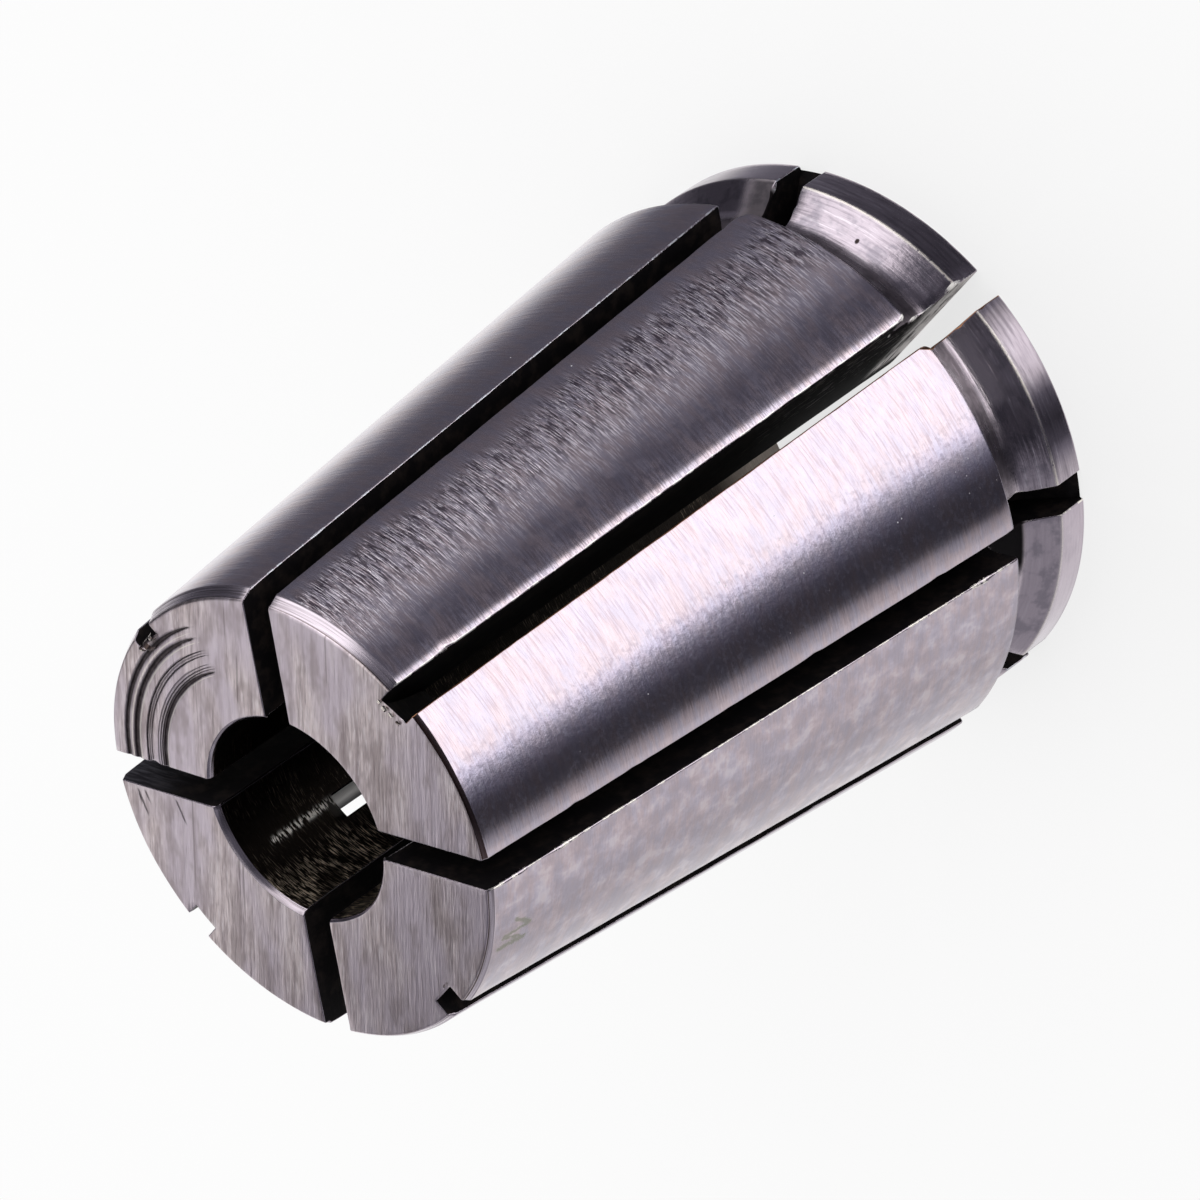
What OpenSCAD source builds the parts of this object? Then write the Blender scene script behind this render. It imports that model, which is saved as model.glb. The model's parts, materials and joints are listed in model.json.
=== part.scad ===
// Die grinder collet: one piece of spring steel, turned, bored and slit from both ends.
// The origin is the centre of the large-end face, and +Z runs along the axis to the small end.
// The seat tapers toward the small end, which goes into the spindle first.
// A groove above the rim is where the collet nut takes hold.

/* [Seat] */
// Overall length, from the large-end face to the small-end face
overall_l = 23.5; // [20:0.5:30]
// Diameter of the tapered seat at the shoulder above the groove
seat_large_d = 16.9; // [16.2:0.1:18]
// Diameter of the tapered seat where its small-end edge break starts
seat_small_d = 13.1; // [11.8:0.1:14.2]
// Length of the small-end edge break along the axis
seat_break_l = 0.3; // [0.1:0.05:0.8]
// Depth of the small-end edge break across the face
seat_break_r = 0.17; // [0.05:0.01:0.4]
// Radius that rounds the corner between the seat and the shoulder
seat_corner_r = 0.3; // [0.1:0.05:0.5]

/* [Rim] */
// Diameter of the straight band round the large end
rim_d = 16.1; // [15.4:0.1:17]
// Length of the straight band along the axis
band_l = 1.05; // [0.6:0.05:1.3]
// Edge break round the large-end face
rim_break = 0.06; // [0.05:0.01:0.3]
// Angle between the flare under the groove and the axis
flare_deg = 45; // [38:1:60]

/* [Groove] */
// Diameter of the groove's floor
groove_d = 14.5; // [13.8:0.1:15]
// Height of the shoulder, the groove's upper wall, above the large-end face
shoulder_z = 3.5; // [3.2:0.1:5]
// Radius between the groove's floor and the flare
flare_fillet_r = 0.6; // [0.2:0.05:0.8]
// Radius between the groove's floor and the shoulder
shoulder_fillet_r = 0.45; // [0.15:0.05:0.6]

/* [Bore] */
// Diameter of the bore that clamps the tool's shank
bore_d = 6; // [4:0.1:7.5]
// Chamfer at both mouths of the bore
bore_chamfer = 0.12; // [0.05:0.01:0.3]

/* [Slits] */
// Number of slits cut from each end
slits_per_end = 4; // [3:1:5]
// Width of a slit
slit_w = 0.9; // [0.5:0.01:1.3]
// Diameter of the saw that cuts the slits, which gives each slit its curved run-out
saw_d = 20; // [16:0.5:36]
// How far the saw reaches past the wall of the bore
saw_past = 1; // [0.6:0.1:1.5]
// Depth at which the large-end slits run out of the small-end face, below the seat
small_notch = 0.6; // [0.35:0.05:1.2]
// Depth at which the small-end slits run out of the large-end face, below the rim
large_notch = 1.3; // [0.8:0.05:2]

/* [Hidden] */
// Facets of a full circle in the preview
$fn = 96;
// How far a cutter runs past the surface that it opens
over = 1;
// Steps in which the outline turns round each rounded corner
arc_steps = 8;
steel = [0.56, 0.54, 0.57];

rim_r = rim_d / 2;
groove_r = groove_d / 2;
bore_r = bore_d / 2;
seat_large_r = seat_large_d / 2;
seat_small_r = seat_small_d / 2;
// Height at which the flare would meet the groove's floor without its fillet
flare_foot_z = band_l + (rim_r - groove_r) / tan(flare_deg);
// Length of the seat, from the shoulder to the edge break, and its angle to the axis
seat_l = overall_l - seat_break_l - shoulder_z;
seat_deg = atan((seat_large_r - seat_small_r) / seat_l);
// Smallest radius that the saw's rim reaches, and the radius on which its arbor travels
saw_foot_r = bore_r - saw_past;
arbor_r = saw_foot_r + saw_d / 2;
slit_pitch = 180 / slits_per_end;

// How far the saw's rim lies from its arbor, along the axis, at a given radius from the axis
function saw_reach(r) = sqrt(pow(saw_d / 2, 2) - pow(arbor_r - r, 2));
large_slit_stop = overall_l - saw_reach(seat_small_r - small_notch);
small_slit_stop = saw_reach(rim_r - large_notch);

// Setback from a corner to where an arc that turns by a given angle touches its sides
function setback(r, turn) = r * tan(turn / 2);
seat_corner_run = setback(seat_corner_r, 90 + seat_deg);

// Points along an arc
function arc(centre, r, from_deg, to_deg) = [
    for (i = [0 : arc_steps])
        let (a = from_deg + (to_deg - from_deg) * i / arc_steps)
            centre + r * [cos(a), sin(a)]
];

// Half section of the turned blank, radius across and height up
module blank_section() {
    flare_centre = [groove_r + flare_fillet_r, flare_foot_z + setback(flare_fillet_r, flare_deg)];
    shoulder_centre = [groove_r + shoulder_fillet_r, shoulder_z - shoulder_fillet_r];
    seat_centre = [seat_large_r - seat_corner_run, shoulder_z + seat_corner_r];
    polygon(concat(
        [[0, 0], [rim_r - rim_break, 0], [rim_r, rim_break], [rim_r, band_l]],
        arc(flare_centre, flare_fillet_r, 180 + flare_deg, 180),
        arc(shoulder_centre, shoulder_fillet_r, 180, 90),
        arc(seat_centre, seat_corner_r, -90, seat_deg),
        [[seat_small_r, overall_l - seat_break_l], [seat_small_r - seat_break_r, overall_l], [0, overall_l]]
    ));
}

// Half section of the bore with its chamfers
module bore_section() {
    mouth_r = bore_r + bore_chamfer;
    polygon([
        [0, -over],
        [mouth_r, -over],
        [mouth_r, 0],
        [bore_r, bore_chamfer],
        [bore_r, overall_l - bore_chamfer],
        [mouth_r, overall_l],
        [mouth_r, overall_l + over],
        [0, overall_l + over]
    ]);
}

// One slit at angle 0: the saw enters at enter_z and stops with its arbor at stop_z
module slit(enter_z, stop_z) {
    low_z = min(enter_z, stop_z);
    travel = abs(stop_z - enter_z);
    rotate([90, 0, 0])
        linear_extrude(slit_w, center = true) {
            translate([saw_foot_r, low_z]) square([saw_d, travel]);
            translate([arbor_r, stop_z]) circle(d = saw_d);
        }
}

// The slits of both ends, half a pitch apart
module slits() {
    for (i = [0 : slits_per_end - 1]) {
        rotate(i * 2 * slit_pitch) slit(-over, large_slit_stop);
        rotate((i * 2 + 1) * slit_pitch) slit(overall_l + over, small_slit_stop);
    }
}

module collet() {
    color(steel)
        difference() {
            rotate_extrude() blank_section();
            rotate_extrude() bore_section();
            slits();
        }
}

collet();
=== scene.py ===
# %% [markdown]
# # A die grinder collet
# This notebook dresses a small steel collet. The collet is one solid piece: a tapered seat, a
# groove and a flared rim at the large end, a bore, and eight saw slits that leave eight jaws.
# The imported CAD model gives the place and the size. Everything here is made in the same frame,
# in metres, standing on the large end with +Z up the axis.

# %% Load the frame
import json
import math

import bpy
from mathutils import Matrix, Vector, noise


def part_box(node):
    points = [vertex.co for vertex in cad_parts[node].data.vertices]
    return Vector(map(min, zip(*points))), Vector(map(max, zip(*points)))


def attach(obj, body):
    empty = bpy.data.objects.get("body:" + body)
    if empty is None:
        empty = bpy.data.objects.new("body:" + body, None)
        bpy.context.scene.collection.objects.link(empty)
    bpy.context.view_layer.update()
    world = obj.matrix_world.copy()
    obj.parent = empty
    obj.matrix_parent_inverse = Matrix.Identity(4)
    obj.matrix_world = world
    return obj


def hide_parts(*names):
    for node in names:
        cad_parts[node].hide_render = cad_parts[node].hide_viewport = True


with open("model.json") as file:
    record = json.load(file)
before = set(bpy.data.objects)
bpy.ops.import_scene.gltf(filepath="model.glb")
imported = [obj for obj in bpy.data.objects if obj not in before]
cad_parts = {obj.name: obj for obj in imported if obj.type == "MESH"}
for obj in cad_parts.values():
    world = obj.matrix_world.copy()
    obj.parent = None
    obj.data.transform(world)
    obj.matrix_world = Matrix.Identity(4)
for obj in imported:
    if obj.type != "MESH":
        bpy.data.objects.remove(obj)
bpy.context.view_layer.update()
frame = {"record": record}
low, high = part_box("collet")
MM = 0.001
print("CAD box in mm:", [round(v / MM, 3) for v in (*low, *high)])

# %% [markdown]
# ## Sizes
# The collet's sizes are the real ones, in millimetres. The length and the bore come from the
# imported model, so that the visible piece can't drift away from the part that is checked. The
# rest repeat the values that the turned blank was designed with, but for two that the photo
# shows smaller: the radius at the seat's lower corner, and the run-out of slits in the rim.

# %% Sizes of the turned blank
bore_mount = next(m for m in frame["record"]["mounts"] if m["name"] == "bore")
overall_l = (high.z - low.z) / MM
bore_r = bore_mount["dims"]["r_mm"]
mouth_chamfer = 0.12
seat_large_r = 8.45
seat_small_r = 6.55
seat_break_l = 0.3
seat_break_r = 0.17
seat_corner_r = 0.1
rim_r = 8.05
rim_break = 0.06
band_l = 1.05
flare_deg = 45.0
groove_r = 7.25
shoulder_z = 3.5
flare_fillet_r = 0.6
shoulder_fillet_r = 0.45
flare_foot_z = band_l + (rim_r - groove_r) / math.tan(math.radians(flare_deg))
print("length", round(overall_l, 3), "mm, bore radius", bore_r, "mm")

# %% Sizes of the slits
# Slits are numbered anticlockwise from +X, and the even ones are open at the large end
jaws = 8
jaw_deg = 360 / jaws
slit_half = 0.90 / 2
saw_r = 10.0
saw_past = 1.0
# Where the slits run out: the radius in the small face, and the depth below the rim
notch_r = {0: 6.12, 2: 5.85, 4: 5.85, 6: 5.93}
large_notch = 0.15
arbor_r = bore_r - saw_past + saw_r

# How far the saw wandered, as (slit, side): (shift of that wall at the bore, shift at the rim)
saw_drift = {
    (1, -1): (-0.07, 0.02), (2, -1): (-0.08, 0.08), (2, 1): (-0.13, -0.13),
    (4, -1): (0.01, 0.01), (4, 1): (-0.05, -0.05), (5, -1): (0.05, 0.05), (5, 1): (-0.09, -0.07),
    (6, -1): (0.03, 0.03), (6, 1): (-0.05, -0.06), (7, -1): (-0.06, 0.0),
}


def half_width(slit, side, r):
    """Half width of a slit on its side at radius r: the saw wandered a little in some of them."""
    inner, outer = saw_drift.get((slit, side), (0, 0))
    return slit_half + inner + (outer - inner) * (r - bore_r) / (rim_r - bore_r)


def saw_reach(r):
    """How far along the axis the saw's rim lies from its arbor, at radius r."""
    return math.sqrt(saw_r ** 2 - (arbor_r - r) ** 2)


large_floor_r = rim_r - large_notch
large_slit_stop = {slit: overall_l - saw_reach(r) for slit, r in notch_r.items()}
small_slit_stop = saw_reach(large_floor_r)
small_web_z = {slit: stop + saw_reach(bore_r) for slit, stop in large_slit_stop.items()}
large_web_z = small_slit_stop - saw_reach(bore_r)
print("webs leave the bore at", round(large_web_z, 2), "and", [round(z, 2) for z in small_web_z.values()])

# %% [markdown]
# ## The outline
# A turned part is a half section spun round its axis. A Boolean of cylinders would give the same solid, but its edges
# would be knife sharp and its faces ragged where the slits cross. So the outline is walked once round the section of a
# jaw, and every corner gets the small radius that a real edge has. Those radii catch the light, and a macro view lives
# on them.

# %% Walk round the half section


def rounded_outline(corners, steps):
    """Closed outline through corners (r, z, radius, tag, spacing), as a list of (r, z, tag)."""
    points = []
    count = len(corners)
    legs = []
    for i, (r, z, radius, tag, spacing) in enumerate(corners):
        here = Vector((r, z))
        back = (Vector(corners[i - 1][:2]) - here).normalized()
        ahead = (Vector(corners[(i + 1) % count][:2]) - here).normalized()
        if radius == 0:
            legs.append((here, here, [here], tag, spacing))
            continue
        half = back.angle(ahead) / 2
        reach = radius / math.tan(half)
        centre = here + (back + ahead).normalized() * radius / math.sin(half)
        start, end = here + back * reach, here + ahead * reach
        turned = math.pi - 2 * half
        arc = []
        for k in range(steps + 1):
            u, v = math.sin((1 - k / steps) * turned), math.sin(k / steps * turned)
            arc.append(centre + ((start - centre) * u + (end - centre) * v) / math.sin(turned))
        legs.append((start, end, arc, tag, spacing))
    for i, (_, end, arc, tag, spacing) in enumerate(legs):
        points += [(p.x, p.y, tag) for p in arc]
        following = legs[(i + 1) % count][0]
        cuts = max(1, round((following - end).length / spacing))
        points += [(*end.lerp(following, k / cuts), tag) for k in range(1, cuts)]
    return points


mouth_r = bore_r + mouth_chamfer
crisp = 0.03
fine, coarse = 0.05, 0.45
arc_steps = 5
section = rounded_outline([
    (mouth_r, 0, crisp, "large_face", coarse),
    (large_floor_r, 0, 0, "large_face", coarse),
    (rim_r - rim_break, 0, crisp, "band", coarse),
    (rim_r, rim_break, crisp, "band", 0.2),
    (rim_r, band_l, 0.06, "flare", 0.1),
    (groove_r, flare_foot_z, flare_fillet_r, "groove", 0.2),
    (groove_r, shoulder_z, shoulder_fillet_r, "groove", 0.2),
    (seat_large_r, shoulder_z, seat_corner_r, "seat", 0.3),
    (seat_small_r, overall_l - seat_break_l, 0.12, "break", fine),
    (seat_small_r - seat_break_r, overall_l, 0.08, "small_face", fine),
    *[(r, overall_l, 0, "small_face", fine) for r in sorted(set(notch_r.values()), reverse=True)],
    (mouth_r, overall_l, crisp, "mouth", fine),
    (bore_r, overall_l - mouth_chamfer, crisp, "bore", coarse),
    *[(bore_r, z, 0, "bore", coarse) for z in sorted(set(small_web_z.values()), reverse=True)],
    (bore_r, large_web_z, 0, "bore", coarse),
    (bore_r, mouth_chamfer, crisp, "bore", coarse),
], arc_steps)
print(len(section), "points round the section")

# %% Find the places on the outline that the slits need


def place_of(r, z):
    """Index of the outline point at (r, z)."""
    return min(range(len(section)), key=lambda i: (section[i][0] - r) ** 2 + (section[i][1] - z) ** 2)


def web_range(start, end):
    """Indices of the outline from start to end, past the end of the list where it has to."""
    count = len(section)
    return [i % count for i in range(start, end + 1 if end > start else end + 1 + count)]


def web_of(slit):
    """The web at a slit's closed end: outline indices, and the height where the saw's arbor stopped."""
    if slit in notch_r:
        start, end = place_of(notch_r[slit], overall_l), place_of(bore_r, small_web_z[slit])
        return web_range(start, end), large_slit_stop[slit]
    return web_range(place_of(bore_r, large_web_z), place_of(large_floor_r, 0)), small_slit_stop


def outward(i):
    """Outward normal of the outline at point i, as (r, z)."""
    before, after = section[i - 1], section[(i + 1) % len(section)]
    step = Vector((after[0] - before[0], after[1] - before[1])).normalized()
    return step.y, -step.x


normals = [outward(i) for i in range(len(section))]
print("web points:", len(web_of(0)[0]), "at the small end,", len(web_of(1)[0]), "at the large end")

# %% [markdown]
# ## Edges that have been used
# No edge of a hard, ground part stays perfect. The saw leaves a fine burr that is stoned off by
# hand, so the edge radius wanders, and there are nicks where the collet knocked against others.
# A bevel modifier would give one width everywhere. Here each point of each slit edge has its own
# radius, from a smooth noise with a few deeper nicks.

# %% Edge radius along the slits
edge_r = 0.035
nick_r = 0.11
face_share = 0.7
# Walls whose edge the saw left raised and broken, as (slit, side) and a share of the edge radius
burred = {(7, 1): 0.9, (5, -1): 1.2, (6, 1): 1.5}

# Corners that are rounded more than the rest, as (slit, side) and (height, radius)
soft_corners = {
    (6, -1): ((shoulder_z, 0.26),),
    (7, -1): ((shoulder_z, 0.30),),
    (5, 1): ((shoulder_z, 0.08),),
    (6, 1): ((band_l, 0.13), (2.2, 0.10), (shoulder_z, 0.16)),
}
corner_reach = 0.3


def edge_radius(i, slit, side):
    """Radius of the slit's edge at outline point i."""
    r, z, tag = section[i]
    corner = 0
    if r > groove_r - 0.1:
        for top, radius in soft_corners.get((slit, side), ()):
            corner = max(corner, radius * math.exp(-((z - top) / corner_reach) ** 2))
    seed = Vector((r * 0.9, z * 0.9, slit * 7.3 + side * 2.1))
    slow = noise.noise(seed)
    quick = noise.noise(seed * 3.7)
    nick = max(0.0, noise.noise(seed * 1.9 + Vector((31, 7, 5))) - 0.42) / 0.4
    share = face_share if tag == "small_face" else burred.get((slit, side), 1.0)
    return max(edge_r * share * (1 + 0.45 * slow + 0.3 * share * quick) + nick_r * nick, corner)


print("edge radius at one point:", round(edge_radius(40, 1, 1), 4), "mm")

# %% [markdown]
# ## Marks on the turned surfaces
# The facing tool left four rings of chatter on part of the small face. The edge break round it
# was filed by hand, so it is wide on one side and narrow on the other, and the bore's mouth lies
# a little out of true. A bump could fake the rings, but the break and the mouth are outlines, and
# a bump never moves an outline. So all three move the points of the half section, each by a
# different amount at each angle.

# %% Sizes of the hand-filed break, the chatter rings and the bore's mouth
break_corner = Vector((seat_small_r, overall_l))
# Width of the break, as (angle, share of its nominal width)
break_stops = [
    (-180, 0.75), (-150, 0.6), (-135, 0.6), (-128, 0.5), (-94, 0.5), (-85, 1.0), (-50, 1.25),
    (-10, 1.3), (20, 0.9), (180, 0.75),
]
ring_centre = Vector((0.53, 0.28))
ring_radii = (5.30, 4.96, 4.52, 3.97)
ring_depth, ring_width = 0.025, 0.07
ring_from, ring_to = -20.0, 41.0
mouth_drift = 0.1
mouth_zone_r = bore_r + 0.8


def smooth_step(a, b, x):
    """0 below a, 1 above b, smooth between."""
    t = min(1.0, max(0.0, (x - a) / (b - a)))
    return t * t * (3 - 2 * t)


def around(deg):
    """An angle in degrees brought into -180 to 180."""
    return (deg + 180) % 360 - 180


def value_at(stops, place):
    """Value at a place on straight lines through the stops, each (place, value)."""
    for (a, value_a), (b, value_b) in zip(stops, stops[1:]):
        if place <= b:
            return value_a + (value_b - value_a) * max(0.0, (place - a) / (b - a))
    return stops[-1][1]


def break_width(deg):
    """How wide the small-end break is at an angle, as a share of its nominal width."""
    wander = noise.noise(Vector((math.cos(math.radians(deg)), math.sin(math.radians(deg)), 0)) * 4)
    return value_at(break_stops, deg) + 0.08 * wander


print("break width at 0 and -120 degrees:", round(break_width(0), 2), round(break_width(-120), 2))

# %% Move an outline point by the marks


def worked(r, z, tag, deg):
    """Outline point (r, z) at an angle, with the file's and the facing tool's marks."""
    off = Vector((r, z)) - break_corner
    if tag in ("seat", "break", "small_face"):
        near = 1 - smooth_step(seat_break_l + 0.05, seat_break_l + 0.75, off.length)
        off *= 1 + (break_width(around(deg)) - 1) * near
        r, z = break_corner.x + off.x, break_corner.y + off.y
    if z > overall_l - 1 and r < mouth_zone_r and tag in ("small_face", "mouth", "bore"):
        # The mouth is out of true, so its edge break is wide on one side only
        wide = smooth_step(-5, 45, deg) * (1 - smooth_step(125, 165, deg))
        shift = mouth_drift * (min(0.0, math.sin(math.radians(deg))) + 0.2 * wide)
        if tag == "bore":
            z -= 0.07 * wide * smooth_step(overall_l - 0.4, overall_l - 0.2, z)
        else:
            shift -= (mouth_chamfer - 0.02) * (1 - 0.85 * wide)
        r += shift * smooth_step(overall_l - 1, overall_l - 0.2, z) * (1 - smooth_step(mouth_r, mouth_zone_r, r))
    if tag == "small_face":
        fade = smooth_step(ring_from, ring_from + 30, deg) * (1 - smooth_step(ring_to, ring_to + 1, deg))
        spot = Vector((math.cos(math.radians(deg)), math.sin(math.radians(deg)))) * r
        from_ring = (spot - ring_centre).length
        z -= ring_depth * fade * sum(math.exp(-((from_ring - ring) / ring_width) ** 2) for ring in ring_radii)
    return r, z


print("face beside the bore at 60 degrees:", [round(v, 3) for v in worked(mouth_r, overall_l, "mouth", 60)])

# %% [markdown]
# ## The mesh
# Every jaw is a grid: the outline one way, the angle between two slits the other way, with a few
# extra columns that turn round the slit's edge. The slit's walls are flat, so each is one face.
# A web joins two jaws across a slit, and the saw's round floor closes it. A Boolean and a bevel
# would be quicker to set up, but a grid keeps every row of points in line, and that keeps the
# reflections on the ground steel straight.

# %% Build the grids
turn_steps = 4
inner_columns = 20
web_columns = 4
floor_steps = 16
verts, faces, tags = [], [], []


def add_vertex(r, z, angle):
    """Adds a vertex in metres and returns its index."""
    verts.append((r * math.cos(angle) * MM, r * math.sin(angle) * MM, z * MM))
    return len(verts) - 1


def edge_column(i, slit, side, k, web):
    """Vertex k of the turn round a slit's edge; side is +1 after the slit and -1 before it."""
    radius = edge_radius(i, slit, side)
    turn = math.pi / 2 * k / turn_steps
    away = radius * (1 - math.cos(turn))
    sink = 0 if i in web else radius * (1 - math.sin(turn))
    centre_deg = slit * jaw_deg
    half = half_width(slit, side, section[i][0])
    r, z = worked(*section[i], around(centre_deg + side * math.degrees(half / section[i][0])))
    r, z = r - sink * normals[i][0], z - sink * normals[i][1]
    return r, z, math.radians(centre_deg) + side * math.asin((half + away) / r)


webs = [set(web_of(s)[0]) for s in range(jaws)]
grid = []
for jaw in range(jaws):
    rows = []
    # The jaw lies between its own slit and the next one
    after = (jaw + 1) % jaws
    wrap = 2 * math.pi if after == 0 else 0
    for i, (r, z, tag) in enumerate(section):
        left = [edge_column(i, jaw, 1, k, webs[jaw]) for k in range(turn_steps + 1)]
        right = [edge_column(i, after, -1, k, webs[after]) for k in range(turn_steps + 1)]
        start, stop = left[-1][2], right[-1][2] + wrap
        row = [add_vertex(*p) for p in left]
        for m in range(1, inner_columns):
            angle = start + (stop - start) * m / inner_columns
            row.append(add_vertex(*worked(r, z, tag, around(math.degrees(angle))), angle))
        row += [add_vertex(*p) for p in reversed(right)]
        rows.append(row)
    grid.append(rows)
print(len(verts), "vertices on the jaws")

# %% Join the grids into faces


def strip(rows, closed, names, webs_beside=None):
    """Quads between the rows of a grid; names gives each row's tag. Slit edges get a tag of their own."""
    last = len(rows) if closed else len(rows) - 1
    for i in range(last):
        here, ahead = rows[i], rows[(i + 1) % len(rows)]
        columns = len(here) - 1
        for c in range(columns):
            faces.append((here[c], here[c + 1], ahead[c + 1], ahead[c]))
            at_edge = webs_beside and (c < turn_steps and i not in webs_beside[0]
                                       or c >= columns - turn_steps and i not in webs_beside[1])
            tags.append("slit_edge" if at_edge else names[i])


def offsets(slit, r):
    """Places across a slit, from one wall to the other."""
    near, far = -half_width(slit, -1, r), half_width(slit, 1, r)
    return [near + (far - near) * m / web_columns for m in range(web_columns + 1)]


for jaw, rows in enumerate(grid):
    strip(rows, True, [s[2] for s in section], (webs[jaw], webs[(jaw + 1) % jaws]))
print(len(faces), "faces on the jaws")

# %% Close the slits with webs, floors and walls
for slit in range(jaws):
    web, stop_z = web_of(slit)
    before, after = grid[slit - 1], grid[slit]
    across = []
    for i in web:
        r, z, tag = section[i]
        row = [before[i][-1]]
        for offset in offsets(slit, r)[1:-1]:
            angle = math.radians(slit * jaw_deg) + math.asin(offset / r)
            row.append(add_vertex(*worked(r, z, tag, around(math.degrees(angle))), angle))
        across.append(row + [after[i][0]])
    strip(across, False, [section[i][2] for i in web])
    # The saw's floor, from the web's last point back to its first
    first, last = section[web[0]], section[web[-1]]
    bend = [math.atan2(p[1] - stop_z, p[0] - arbor_r) % (2 * math.pi) for p in (last, first)]
    floor = [across[-1]]
    for j in range(1, floor_steps):
        a = bend[0] + (bend[1] - bend[0]) * j / floor_steps
        r, z = arbor_r + saw_r * math.cos(a), stop_z + saw_r * math.sin(a)
        row = []
        for offset in offsets(slit, r):
            row.append(add_vertex(math.hypot(r, offset), z, math.radians(slit * jaw_deg) + math.atan2(offset, r)))
        floor.append(row)
    floor.append(across[0])
    strip(floor, False, ["slit_floor"] * floor_steps)
    # Both walls, round the open part of the outline and back along the floor
    open_part = web_range(web[-1], web[0])
    back = floor[1:-1]
    left_wall = [after[i][0] for i in open_part] + [row[-1] for row in reversed(back)]
    right_wall = [before[i][-1] for i in open_part] + [row[0] for row in reversed(back)]
    faces.append(left_wall)
    faces.append(right_wall[::-1])
    tags += ["slit_wall", "slit_wall"]
print(len(verts), "vertices and", len(faces), "faces")

# %% [markdown]
# ## Curled burrs
# Where a slit runs out in the small face, the saw pushed up a few thin slivers, which curled over.
# They could be hair or a scattered instance, but there are only eight and each is different. So
# each is a small strip of faces, rolled up by its own number of turns.

# %% Curl burrs over the edges of three notches


def curl(slit, offset, width, size, lean, turns):
    """A thin curled sliver that the saw pushed up at a notch's edge in the small face."""
    steps, columns = 10, 2
    slit_angle = math.radians(slit * jaw_deg)
    across_unit = Vector((-math.sin(slit_angle), math.cos(slit_angle), 0))
    out_unit = Vector((math.cos(slit_angle), math.sin(slit_angle), 0))
    rows = []
    for k in range(steps + 1):
        turn = turns * 2 * math.pi * k / steps
        radius = size * (1 - 0.35 * k / steps)
        rise = radius * math.sin(turn) * 0.8 + 0.02
        out = notch_r[slit] + radius * (math.cos(turn) - 1) * lean
        row = []
        for c in range(columns + 1):
            side = offset + width * (c / columns - 0.5) * (1 - 0.6 * k / steps) + 0.03 * math.sin(turn * 1.7 + slit)
            p = out_unit * out + across_unit * side + Vector((0, 0, overall_l + rise))
            verts.append(tuple(q * MM for q in p))
            row.append(len(verts) - 1)
        rows.append(row)
    strip(rows, False, ["burr"] * steps)


# Each burr as (slit, offset across it, width, size, lean outward, turns)
burrs = (
    (0, -0.30, 0.20, 0.15, 1.0, 0.55),
    (0, -0.02, 0.30, 0.21, 1.1, 0.66),
    (0, 0.32, 0.18, 0.13, 1.2, 0.45),
    (6, -0.34, 0.14, 0.07, 0.8, 0.5),
    (6, -0.08, 0.18, 0.08, 0.8, 0.45),
    (6, 0.17, 0.15, 0.11, 0.8, 0.6),
    (6, 0.38, 0.12, 0.08, 1.0, 0.5),
    (4, 0.30, 0.12, 0.06, 0.8, 0.5),
)
for burr in burrs:
    curl(*burr)
print(len(faces), "faces with the burrs")

# %% [markdown]
# ## One object with seven finishes
# The collet is one piece of steel, so it is one object. Seven objects would be easier to finish,
# but they would show seams and would have to move as one. Each face keeps a tag from the
# outline, and the tag picks the material slot. The walls of the slits are flat, so their edges
# are marked sharp, and everything else is shaded smooth.

# %% Make the object
finishes = {
    "seat": ("seat",),
    "rim": ("band", "flare", "groove", "large_face"),
    "small_face": ("small_face",),
    "slit": ("slit_wall", "slit_floor"),
    "bore": ("bore",),
    "filed": ("break", "mouth"),
    "edge": ("slit_edge", "burr"),
}
finish_of = {tag: n for n, names in enumerate(finishes.values()) for tag in names}
mesh = bpy.data.meshes.new("collet_steel")
mesh.from_pydata(verts, [], faces)
mesh.validate()
mesh.polygons.foreach_set("material_index", [finish_of[t] for t in tags])
mesh.polygons.foreach_set("use_smooth", [True] * len(faces))
sharp = set()
for face, tag in zip(mesh.polygons, tags):
    if tag == "slit_wall":
        sharp.update(face.edge_keys)
sharp_flags = mesh.attributes.new("sharp_edge", "BOOLEAN", "EDGE")
sharp_flags.data.foreach_set("value", [edge.key in sharp for edge in mesh.edges])
collet = bpy.data.objects.new("collet_steel", mesh)
bpy.context.scene.collection.objects.link(collet)
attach(collet, "root")
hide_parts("collet")
triangles = sum(len(p.vertices) - 2 for p in mesh.polygons)
print("collet_steel has", triangles, "triangles")

# %% [markdown]
# ## Shader maths as Python
# The materials are all worked out from where a point is on the part: its height, its distance
# from the axis and its angle. Writing that as a tree of Math nodes by hand is long and hard to
# read, so a small class wraps a socket, and Python's own operators add the nodes.

# %% A socket that does arithmetic


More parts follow.
